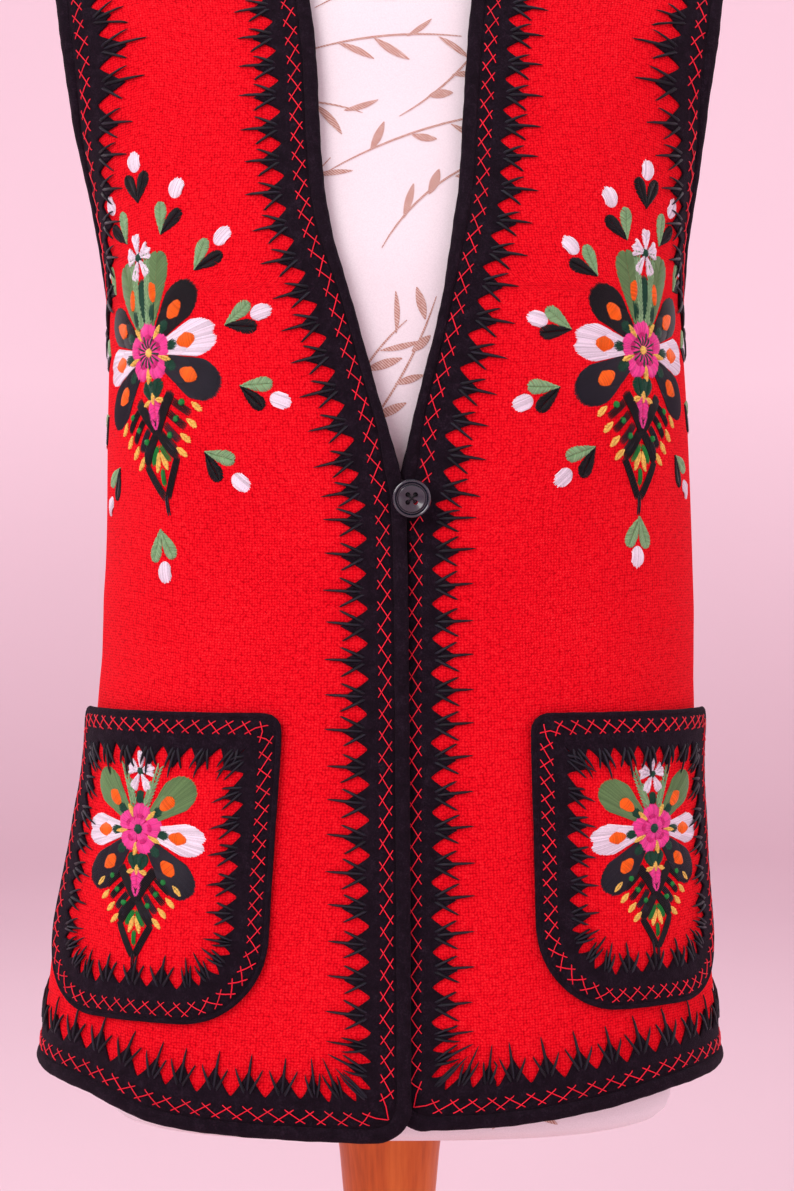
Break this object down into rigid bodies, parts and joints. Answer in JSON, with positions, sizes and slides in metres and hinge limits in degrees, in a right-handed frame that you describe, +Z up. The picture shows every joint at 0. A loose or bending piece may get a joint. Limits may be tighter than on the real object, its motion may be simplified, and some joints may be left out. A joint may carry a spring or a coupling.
{
  "type": "embroidered folk vest on a dress form",
  "caption": "Sleeveless red wool folk vest with toothed black felt borders, patch pockets and flower embroidery, worn by a limbless dress form on a turned stand.",
  "frame": {"origin": "centre of the underside of the stand's base, on the surface that it stands on", "axes": "+Z up; the front of the vest faces -Y; +X is the wearer's left"},
  "size_m": [0.4211, 0.3, 1.114],
  "materials": {
    "red_wool": "boiled wool knit, matt and fuzzy",
    "black_felt": "felt, matt",
    "black_thread": "stranded floss with a soft sheen",
    "coloured_floss": "stranded floss in white, pink, green, orange and yellow, silky",
    "red_thread": "fine sewing thread",
    "form_cover": "stretched printed cotton jersey",
    "turned_wood": "stained and waxed",
    "button": "polished horn look"
  },
  "bodies": {
    "root": {"armhole_border_left": "black_felt", "armhole_border_right": "black_felt", "armhole_roll_left": "black_felt", "armhole_roll_right": "black_felt", "back": "red_wool", "button": "button", "button_loop": "black_thread", "button_shank": "black_thread", "dress_form": "form_cover", "front_border_left": "black_felt", "front_border_right": "black_felt", "front_left": "red_wool", "front_right": "red_wool", "front_roll_left": "black_felt", "front_roll_right": "black_felt", "hem_border_back": "black_felt", "hem_border_left": "black_felt", "hem_border_right": "black_felt", "hem_roll_back": "black_felt", "neck_border_back": "black_felt", "neck_roll_back": "black_felt", "pocket_border_left": "black_felt", "pocket_border_right": "black_felt", "pocket_left": "red_wool", "pocket_right": "red_wool", "pocket_roll_left": "black_felt", "pocket_roll_right": "black_felt", "stand_base": "turned_wood", "stand_stem": "turned_wood"}
  },
  "joints": []
}
